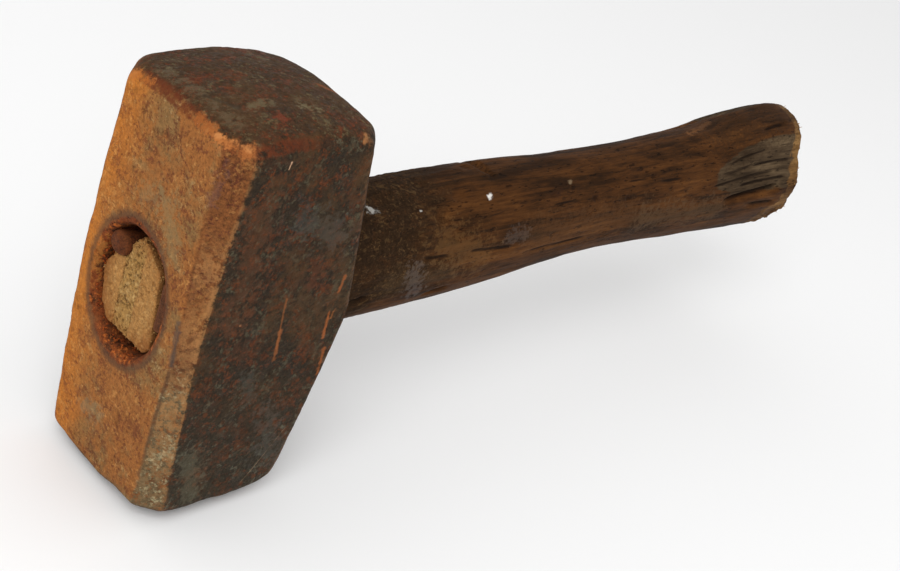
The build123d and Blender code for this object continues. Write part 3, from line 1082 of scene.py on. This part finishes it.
def makeHeadFinish():
    s = headFinish
    material, tree, shader, place = newFinish("rustyForgedSteel")
    rag = grainNoise(tree, place, s["ragScale"], 7.0, 0.75)
    broad = grainNoise(tree, place, s["broadScale"], 5.0, 0.65)
    facing = components(tree, attribute(tree, "facing", "Vector"))
    where = components(tree, place)
    jitter = calc(tree, "ADD", mulAdd(tree, rag, 0.34, -0.17), mulAdd(tree, broad, 0.3, -0.15))
    outTop = minus(tree, jitter, facing[0])  # 1 where the surface faces the top side's way
    outFace = calc(tree, "ADD", jitter, calc(tree, "ABSOLUTE", facing[2]))
    drift = mulAdd(tree, broad, 0.04, minus(tree, where[2], 0.02))
    radius = mulAdd(tree, rag, 0.16, minus(tree, mouthRadius(tree, where), 0.08))
    chamferMask = step(tree, outTop, 0.22, 0.64)
    inEye = product(tree, step(tree, radius, 1.20, 1.13), step(tree, where[0], 0.020, 0.012))
    colors = palette(tree, step(tree, drift, 0.050, 0.008), tones(s["cheek"]), tones(s["cheekLow"]))
    chamfer = palette(tree, step(tree, drift, 0.060, 0.036), tones(s["chamfer"]), tones(s["chamferLow"]))
    cloud = grainNoise(tree, placed(tree, place, move=(0.1, 0.4, 0.2)), s["cloudScale"], 5.0, 0.7)
    topSide = palette(tree, step(tree, cloud, 0.47, 0.62, 0.0, 0.85), tones(s["topSide"]),
                      tones(s["topSideCool"]))
    topSide = palette(tree, step(tree, mulAdd(tree, broad, 0.012, where[1]), 0.006, 0.026), topSide,
                      tones(s["topSideEdge"]))
    colors = palette(tree, chamferMask, colors, chamfer)
    topMask = step(tree, outTop, 0.74, 0.98)
    colors = palette(tree, topMask, colors, topSide)
    colors = palette(tree, step(tree, outFace, 0.60, 0.80), colors, tones(s["face"]))
    colors = palette(tree, inEye, colors, tones(s["eyeWall"]))
    grain = product(tree, s["grain"][1], mulAdd(tree, topMask, -0.35, 1.0))
    color, height = mottle(tree, place, colors, s["spots"], s["pales"], (s["grain"][0], grain))
    scale, *layer = s["dots"]
    dots = put(tree, "ShaderNodeTexVoronoi", {"Vector": place, "Scale": scale}).outputs["Distance"]
    color = coat(tree, color, layer, step(tree, mulAdd(tree, rag, 0.4, dots), 0.46, 0.36),
                 step(tree, cloud, 0.42, 0.58), step(tree, where[2], 0.075, 0.030))
    cheek = minus(tree, 1.0, chamferMask)
    streaks = scratches(tree, place, 1200, 5, 0.55, (0, 38, 0))
    color = coat(tree, color, s["paleStreak"], streaks, cheek)
    darkStreaks = scratches(tree, place, 650, 2.5, 0.70, (0, 62, 0))
    color = coat(tree, color, s["darkStreak"], darkStreaks, cheek)
    color = coat(tree, color, s["redPatch"], step(tree, cloud, 0.52, 0.64), cheek,
                 step(tree, rag, 0.40, 0.55))
    color = coat(tree, color, s["warmPatch"], step(tree, broad, 0.46, 0.60), cheek,
                 step(tree, rag, 0.34, 0.56), step(tree, drift, 0.02, 0.06))
    # red-brown rims, on the upper face's edges over the top side and the near cheek
    overTop = product(tree, step(tree, outTop, 0.22, 0.40), step(tree, where[1], -0.013, -0.008),
                      step(tree, where[1], 0.016, 0.010))
    overCheek = product(tree, step(tree, product(tree, facing[1], -1.0), 0.30, 0.55),
                        step(tree, where[0], 0.002, -0.010))
    color = coat(tree, color, s["rimRed"], calc(tree, "MAXIMUM", overTop, overCheek),
                 step(tree, outFace, 0.16, 0.34), step(tree, outFace, 0.92, 0.74),
                 step(tree, where[2], 0.085, 0.092), step(tree, rag, 0.36, 0.54),
                 step(tree, cloud, 0.38, 0.54, 0.55))
    # pale line where the chamfer meets the cheek, widest below the middle: wear with a painted highlight
    # along the edge
    low = step(tree, where[2], 0.092, 0.070)
    lineEdge = mulAdd(tree, low, 0.22, 0.46)
    color = coat(tree, color, s["wornLineAndHighlight"], step(tree, outTop, 0.20, 0.32),
                 step(tree, outTop, calc(tree, "ADD", lineEdge, 0.16), lineEdge),
                 step(tree, rag, 0.42, 0.56), step(tree, outFace, 0.55, 0.35),
                 step(tree, where[2], 0.004, 0.030, 0.3),
                 step(tree, calc(tree, "ABSOLUTE", where[1]), 0.0145, 0.0165),
                 mulAdd(tree, low, 0.32, 0.25))
    for start, end, width, *layer in s["marks"]:
        color = coat(tree, color, layer, mark(tree, place, rag, start, end, width))
    color = coat(tree, color, s["mouthRing"], step(tree, radius, 1.32, 1.20),
                 step(tree, radius, 1.11, 1.18), step(tree, where[0], -0.020, -0.024))
    color = coat(tree, color, s["pit"], attribute(tree, "pit"))
    # convex edges lightened: wear, with a painted highlight along them
    color = coat(tree, color, s["convexWearAndHighlight"], step(tree, attribute(tree, "convex"), 0.10, 0.30),
                 step(tree, rag, 0.44, 0.60))
    bare = product(tree, cheek, step(tree, rag, 0.40, 0.62))
    rough = mulAdd(tree, bare, -0.25, 0.85)
    finish(tree, shader, color, rough, mulAdd(tree, rag, 0.7, height), s["bump"])
    tree.links.new(product(tree, bare, 0.25), shader.inputs["Metallic"])
    return material


def onHandle(place, turn):
    # the point on the handle at a place along it and a turn, in millimetres
    halfHeight, halfWidth, lift = handleSection(place * mm)
    a = math.radians(turn)
    return (place, -halfWidth / mm * math.sin(a), (eyeZ + lift + halfHeight * math.cos(a)) / mm)


handleFinish = {
    # colours of each kind of surface: dark, middle and light
    "wood": ((42, 25, 11), (72, 43, 19), (92, 57, 26)),
    "bare": ((46, 35, 24), (72, 57, 41), (96, 79, 58)),
    "ragged": ((72, 47, 25), (108, 77, 43), (144, 109, 66)),
    "grime": ((42, 30, 19), (58, 38, 22), (86, 64, 40)),
    "grimeSpots": (210, 0.5),  # scale and cover
    "grimePales": (260, 0.30),
    "grimeGrain": (1200, 3.0),  # scale and strength
    # wear: colour and strength
    "scuff": ((112, 86, 54), 0.28),
    "nick": ((28, 17, 10), 0.45),
    "split": ((24, 15, 9), 0.85),
    "ragScale": 620,
    "axialScale": 420,
    "cloudScale": 120,
    "streakScale": 520,
    "pores": (1150, 0.52),  # scale and cover
    "bump": 0.17 * mm,
    "shine": 0.04,
    # marks: place and turn of the start and of the end, width, colour and strength
    "marks": [
        ((35, 26), (36.5, 29), 1.1, (178, 176, 170), 0.75),  # specks of dried mortar
        ((77, 37), (78, 35), 0.9, (222, 218, 212), 0.95),
        ((51, 38), (51.5, 38), 0.45, (190, 186, 178), 0.8),
        ((50, 91), (54, 114), 3.6, (106, 98, 96), 0.32),  # smudges
        ((86, 76), (92, 80), 2.8, (94, 84, 78), 0.28),
        ((113, 44), (113.6, 44), 1.0, (30, 20, 14), 0.8),
        ((123, 60), (123.6, 60), 1.1, (34, 20, 14), 0.8),
        ((139, 67), (140, 67), 1.0, (36, 20, 12), 0.8),
        ((104, 47), (108, 46), 1.2, (48, 28, 18), 0.5),
        ((112, 38), (113, 37), 0.8, (132, 112, 86), 0.6),
        ((178, 3), (192, -8), 1.6, (124, 82, 48), 0.5),
        ((60, 70), (75, 92), 7.0, (112, 80, 46), 0.30),
        ((42, 96), (64, 100), 5.0, (96, 76, 52), 0.2),
        ((96, 84), (150, 92), 7.0, (104, 74, 46), 0.16),
        ((150, 95), (190, 100), 6.0, (90, 68, 46), 0.4),
        ((192, 14), (228, 8), 11.0, (48, 32, 19), 0.5),
    ],
}


def makeHandleFinish():
    s = handleFinish
    material, tree, shader, place = newFinish("wornAshHandle")
    rag = grainNoise(tree, place, s["ragScale"], 6.0, 0.75)
    squeezed = placed(tree, place, (0.16, 1, 1), (20, 35, 35))
    axial = grainNoise(tree, squeezed, s["axialScale"], 6.0, 0.75)
    cloud = grainNoise(tree, place, s["cloudScale"], 5.0, 0.65)
    bare = step(tree, mulAdd(tree, axial, 0.9, attribute(tree, "bare")), 0.75, 1.2)
    ragged = step(tree, mulAdd(tree, rag, 0.9, attribute(tree, "ragged")), 0.80, 1.25)
    colors = palette(tree, bare, tones(s["wood"]), tones(s["bare"]))
    colors = palette(tree, ragged, colors, tones(s["ragged"]))
    out = placeGroup(tree, grainGroup, {"Place Vector": place, "Dark Color": colors[0],
                                        "Middle Color": colors[1], "Light Color": colors[2],
                                        "Streak Scale": s["streakScale"], "Pore Scale": s["pores"][0],
                                        "Pore Cover": s["pores"][1]})
    color, height = out["Grain Color"], out["Height"]
    grimeColor, grimeHeight = mottle(tree, place, tones(s["grime"]), s["grimeSpots"], s["grimePales"],
                                     s["grimeGrain"])
    scuffs = scratches(tree, place, 800, 5, 0.62, (0, 25, 40))
    grimeColor = coat(tree, grimeColor, s["scuff"], scuffs)
    worn = calc(tree, "ADD", product(tree, axial, 0.9),
                mulAdd(tree, cloud, 1.5, attribute(tree, "grime")))
    grime = product(tree, step(tree, worn, 1.25, 2.25), 0.9)
    color = blend(tree, grime, color, grimeColor)
    nicks = scratches(tree, place, 1000, 9, 0.60, (0, 4, 0))
    color = coat(tree, color, s["nick"], nicks)
    for start, end, width, *layer in s["marks"]:
        mask = mark(tree, place, rag, onHandle(*start), onHandle(*end), width)
        color = coat(tree, color, layer, mask)
    split = step(tree, mulAdd(tree, axial, 0.5, attribute(tree, "split")), 0.50, 1.05)
    color = coat(tree, color, s["split"], split)
    rough = mulAdd(tree, calc(tree, "MAXIMUM", bare, grime), 0.16, 0.64)
    height = mulAdd(tree, minus(tree, grimeHeight, 0.5), product(tree, grime, 0.6), height)
    finish(tree, shader, color, rough, height, s["bump"], s["shine"])
    return material


endWoodFinish = {
    # wear and painted shade: colour and strength
    "stain": ((130, 74, 32), 0.75),  # rust soaked in from the wall of the eye
    # deep: darker where the broken end lies deeper in the eye, painted shade in the recess
    "deep": ((64, 34, 17), 0.8),
    "side": ((104, 64, 32), 0.5),
    "pitStrength": 0.85,
    "spots": (220, 0.42),  # scale and cover
    "pales": (150, 0.5),
    "grain": (1500, 2.2),  # scale and strength
    "rough": 0.88,
    "bump": 0.3 * mm,
}


def makeEndWood(name, colors, pitTone):
    # pale broken end of the tenon and of the wooden wedge, stained by rust where it nears the wall
    s = endWoodFinish
    material, tree, shader, place = newFinish(name)
    color, height = mottle(tree, place, tones(colors), s["spots"], s["pales"], s["grain"])
    rag = grainNoise(tree, place, 900, 5.0, 0.75)
    where = components(tree, place)
    stain = step(tree, mulAdd(tree, rag, 0.8, mouthRadius(tree, where)), 0.95, 1.45)
    color = coat(tree, color, s["stain"], stain)
    # painted shade: darker deeper inside the eye
    deep = step(tree, mulAdd(tree, rag, 0.002, where[0]), -0.0232, -0.0212)
    color = coat(tree, color, s["deep"], deep)
    facing = components(tree, attribute(tree, "facing", "Vector"))
    color = coat(tree, color, s["side"], step(tree, facing[0], -0.75, -0.2))
    color = coat(tree, color, (pitTone, s["pitStrength"]), attribute(tree, "pit"))
    finish(tree, shader, color, s["rough"], height, s["bump"])
    return material


# edge: lighter on the wedges' convex edges, a painted highlight round their rims
wedgeSteelFinish = {"edge": ((132, 78, 44), 0.35), "spots": (420, 0.5), "pales": (350, 0.4),
                    "grain": (1600, 2.6), "rough": 0.75, "bump": 0.2 * mm}
crumbFinish = {"spots": (900, 0.5), "pales": (700, 0.5), "grain": (2500, 2.0), "rough": 0.9,
               "bump": 0.1 * mm}


def makeWedgeSteel(name, colors):
    s = wedgeSteelFinish
    material, tree, shader, place = newFinish(name)
    color, height = mottle(tree, place, tones(colors), s["spots"], s["pales"], s["grain"])
    # painted highlight on the convex edges
    color = coat(tree, color, s["edge"], step(tree, attribute(tree, "convex"), 0.05, 0.22))
    finish(tree, shader, color, s["rough"], height, s["bump"])
    return material


def makeCrumbs(name, colors):
    s = crumbFinish
    material, tree, shader, place = newFinish(name)
    color, height = mottle(tree, place, tones(colors), s["spots"], s["pales"], s["grain"])
    finish(tree, shader, color, s["rough"], height, s["bump"])
    return material


headSteel = makeHeadFinish()
handleWood = makeHandleFinish()
tenonWood = makeEndWood("brokenTenonEnd", ((157, 113, 63), (134, 91, 46), (172, 130, 78)), (60, 37, 20))
wedgeWood = makeEndWood("crumblyWedgeWood", ((156, 118, 66), (116, 82, 44), (176, 140, 88)), (34, 22, 12))
pinSteel = makeWedgeSteel("rustyPin", ((84, 42, 19), (56, 28, 14), (108, 60, 28)))
flatSteelFinish = makeWedgeSteel("darkFlatWedge", ((84, 48, 27), (54, 32, 20), (110, 68, 38)))
rustCrumbs = makeCrumbs("looseRust", ((128, 58, 22), (76, 33, 15), (172, 88, 34)))
woodFibre = makeCrumbs("looseFibre", ((158, 116, 66), (112, 76, 40), (184, 146, 94)))
print("finishes ready")


runTree(head, wearTree, {**headWear, "Surface Material": headSteel})
runTree(tenonEnd, wearTree, {**tenonWear, "Surface Material": tenonWood})
runTree(woodWedge, wearTree, {**wedgeWear, "Surface Material": wedgeWood})
runTree(steelPin, wearTree, {**steelWedgeWear, "Surface Material": pinSteel})
runTree(flatSteel, wearTree, {**steelWedgeWear, "Surface Material": flatSteelFinish})
handle.data.materials.append(handleWood)
for p in handle.data.polygons:
    p.use_smooth = True


# loose bits: rust in the eye, fibres on the broken wood

def scatter(surface, cover, values):
    # scatters bits over a copy of the surface where cover allows, and joins them to it
    copy = bpy.data.objects.new(surface.name + "Bits", surface.data.copy())
    bpy.context.scene.collection.objects.link(copy)
    setMask(copy, "cover", cover)
    runTree(copy, scatterTree, values)
    print("bits on", surface.name, len(copy.data.polygons))
    joinInto(surface, copy)


anyTurn = {"Turn Low Vector": (0, 0, 0), "Turn High Vector": (6.28, 6.28, 6.28)}
eyeRust = {"Density": 2.2e6, "Smallest": 0.2 * mm, "Largest": 0.95 * mm, "Sides Count": 5,
           "Stretch Vector": (1.0, 0.8, 0.6), "Seed": 4, "Surface Material": rustCrumbs, **anyTurn}
buttFibres = {"Density": 0.5e6, "Smallest": 0.5 * mm, "Largest": 1.3 * mm, "Sides Count": 4,
              "Turn Low Vector": (0, 1.25, -0.35), "Turn High Vector": (0, 1.9, 0.35),
              "Stretch Vector": (0.22, 0.22, 1.0), "Seed": 7, "Surface Material": woodFibre}
tenonCrumbs = {"Density": 2.4e6, "Smallest": 0.2 * mm, "Largest": 0.6 * mm, "Sides Count": 5,
               "Stretch Vector": (0.9, 0.7, 1.0), "Seed": 9, "Surface Material": woodFibre, **anyTurn}


def scatterBits():
    points = getPoints(head)
    across = (points[:, 1] - eyeShape["middle"][0]) / eyeShape["mouth"][0]
    up = (points[:, 2] - eyeZ - eyeShape["middle"][1]) / eyeShape["mouth"][1]
    radius = np.hypot(across, up)
    wall = (radius < 1.06) * smoothStep(points[:, 0], -17 * mm, -23 * mm) * (across > -0.45) * (up < 0.55)
    wall *= 0.25 + 0.75 * smoothStep(across - 0.8 * up, -0.3, 0.7)
    wall *= smoothStep(roughen(points, 2.2 * mm, 3, 5.0), -0.1, 0.35)
    scatter(head, wall, eyeRust)
    points = getPoints(handle)
    rim = smoothStep(points[:, 0], handleHigh.x - 7 * mm, handleHigh.x - 3 * mm)
    rim *= smoothStep(points[:, 0], handleHigh.x, handleHigh.x - 1 * mm)
    rim *= smoothStep(roughen(points, 3 * mm, 2, 25.0), -0.2, 0.3)
    scatter(handle, rim, buttFibres)
    points, facing = getPoints(tenonEnd), getNormals(tenonEnd)
    up = (points[:, 2] - eyeZ) / eyeShape["mouth"][1]
    broken = smoothStep(points[:, 0], -21 * mm, -23 * mm) * smoothStep(np.abs(facing[:, 0]), 0.95, 0.6)
    broken *= 0.25 + 0.75 * smoothStep(up, 0.35, 0.75) + 0.75 * smoothStep(up, -0.45, -0.8)
    scatter(tenonEnd, np.clip(broken, 0, 1), tenonCrumbs)
    points = getPoints(woodWedge)
    up = (points[:, 2] - eyeZ) / eyeShape["mouth"][1]
    crumbly = smoothStep(points[:, 0], -23 * mm, -24 * mm) * (0.15 + 0.85 * smoothStep(up, 0.4, 0.8))
    scatter(woodWedge, crumbly, tenonCrumbs)


scatterBits()
joinInto(handle, tenonEnd)
finished = (head, handle, woodWedge, steelPin, flatSteel)
for piece in finished:
    keepInside(piece)
print("pieces worn and finished:", {p.name: len(p.data.polygons) for p in finished})


# camera and stage

view = {"lens": 56.93, "sensor": 36, "place": (-0.2029, -0.2103, 0.2225), "azimuth": -53.94,
        "elevation": 27.80, "roll": 19.98}


def addCamera():
    data = bpy.data.cameras.new("camera")
    data.lens = view["lens"]
    data.sensor_width = view["sensor"]
    data.clip_start, data.clip_end = 0.01, 20
    camera = bpy.data.objects.new("camera", data)
    a, e = math.radians(view["azimuth"]), math.radians(view["elevation"])
    back = Vector((math.sin(a) * math.cos(e), -math.cos(a) * math.cos(e), math.sin(e)))
    roll = Matrix.Rotation(math.radians(view["roll"]), 3, "Z")
    turn = (-back).to_track_quat("-Z", "Y").to_matrix() @ roll
    camera.matrix_world = Matrix.Translation(view["place"]) @ turn.to_4x4()
    bpy.context.scene.collection.objects.link(camera)
    bpy.context.scene.camera = camera


addCamera()

stageLook = {"floorSize": 6.0, "floorTone": 0.90, "world": 0.82, "key": 9.5,
             "keyPlace": (-0.75, -0.55, 0.95), "keySize": 0.9, "keyAim": (0.06, 0, 0.05)}


def addStage():
    half = stageLook["floorSize"] / 2
    corners = [(-half, -half, 0), (half, -half, 0), (half, half, 0), (-half, half, 0)]
    floor = addPiece("floor", corners, [(0, 1, 2, 3)])
    paper = bpy.data.materials.new("palePaper")
    paper.use_nodes = True
    inputs = paper.node_tree.nodes["Principled BSDF"].inputs
    inputs["Base Color"].default_value = (*[stageLook["floorTone"]] * 3, 1)
    inputs["Roughness"].default_value = 0.9
    floor.data.materials.append(paper)
    lamp = bpy.data.objects.new("keyLight", bpy.data.lights.new("keyLight", "AREA"))
    lamp.data.energy, lamp.data.size = stageLook["key"], stageLook["keySize"]
    aim = Vector(stageLook["keyPlace"]) - Vector(stageLook["keyAim"])
    turn = aim.to_track_quat("Z", "Y").to_matrix().to_4x4()
    lamp.matrix_world = Matrix.Translation(stageLook["keyPlace"]) @ turn
    bpy.context.scene.collection.objects.link(lamp)
    world = bpy.data.worlds.new("studio")
    world.use_nodes = True
    inputs = world.node_tree.nodes["Background"].inputs
    inputs["Strength"].default_value = stageLook["world"]
    inputs["Color"].default_value = (1, 1, 1, 1)
    bpy.context.scene.world = world
    bpy.context.scene.view_settings.view_transform = "Standard"


addStage()

places = {"head": (head, "head_steel"), "handle": (handle, "handle_wood"),
          "wood_wedge": (woodWedge, "wedge_wood"), "steel_pin_wedge": (steelPin, "wedge_steel"),
          "steel_flat_wedge": (flatSteel, "wedge_steel")}
for node, (piece, slot) in places.items():
    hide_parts(node)
    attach(piece, "root")
